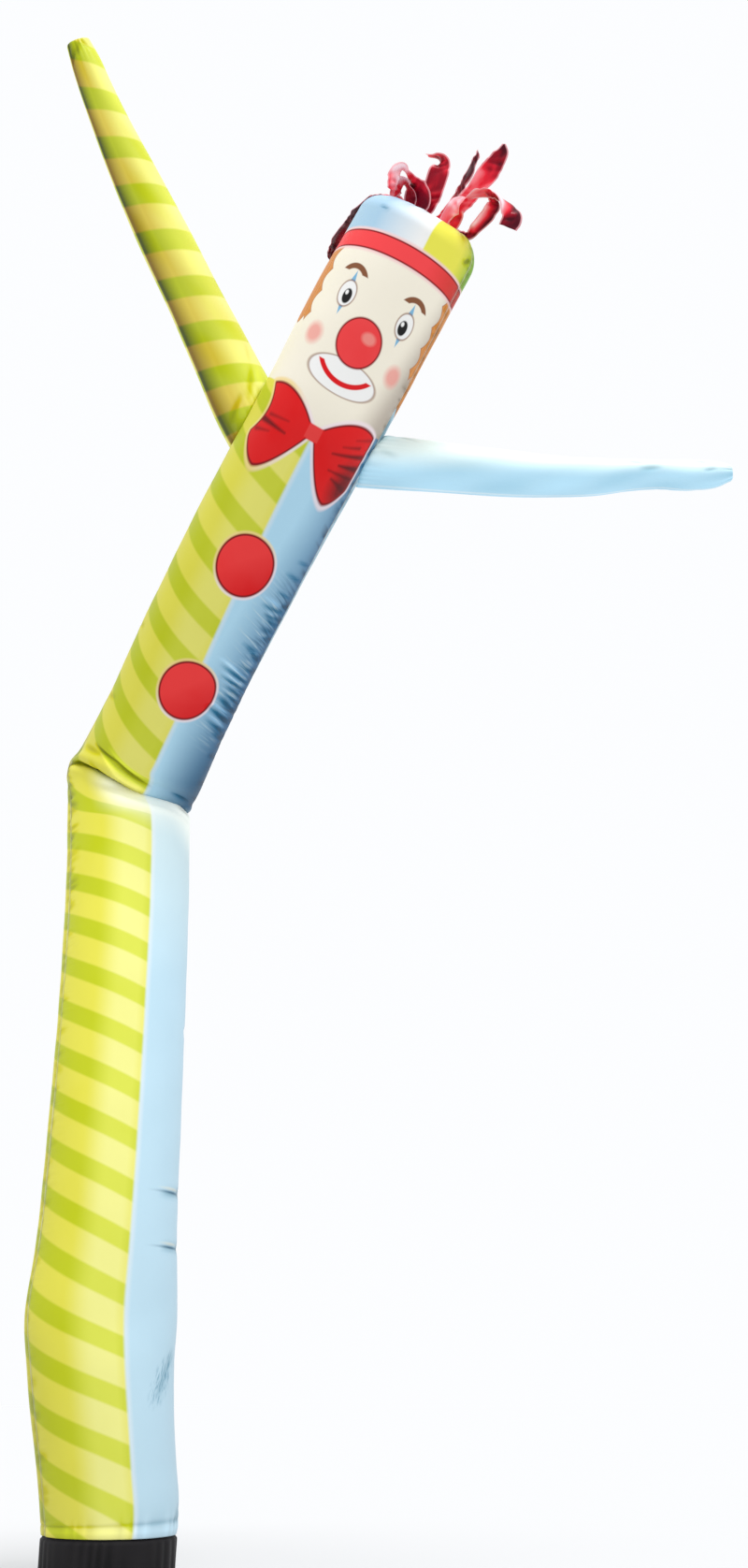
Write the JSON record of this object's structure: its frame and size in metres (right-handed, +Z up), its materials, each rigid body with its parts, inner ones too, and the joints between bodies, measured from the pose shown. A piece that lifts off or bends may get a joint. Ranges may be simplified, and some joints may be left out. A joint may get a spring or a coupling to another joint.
{
  "type": "inflatable air dancer",
  "caption": "Blown-up cloth tube dancer with a bent body, two tapered arms, a closed crown with ribbon streamers and a sleeve that fits over a blower outlet.",
  "frame": {"origin": "centre of the base sleeve's open bottom edge, where the blower's outlet enters", "axes": "+Z up, along the lower tube and the rising air; +X to the viewer's right as the dancer is faced; the printed face looks along -Y"},
  "size_m": [1.7029, 1.1237, 3.3648],
  "materials": {
    "print_cloth": "thin coated nylon, printed yellow and lime stripes on one half and light blue on the other, satin sheen",
    "striped_cloth": "thin coated nylon, printed yellow and lime stripes",
    "blue_cloth": "thin coated nylon, plain light blue",
    "black_cloth": "matt woven cloth in small upright gathers",
    "red_ribbon": "shiny crinkled ribbon"
  },
  "bodies": {
    "root": {"front_panel": "print_cloth", "back_panel": "print_cloth", "arm_raised": "striped_cloth", "arm_level": "blue_cloth", "base_sleeve": "black_cloth", "streamer_left_curl": "red_ribbon", "streamer_left_fold": "red_ribbon", "streamer_left_tall": "red_ribbon", "streamer_left_hanging": "red_ribbon", "streamer_back_thin": "red_ribbon", "streamer_right_tall": "red_ribbon", "streamer_right_arch": "red_ribbon", "streamer_right_drop": "red_ribbon", "streamer_right_stub": "red_ribbon"}
  },
  "joints": []
}
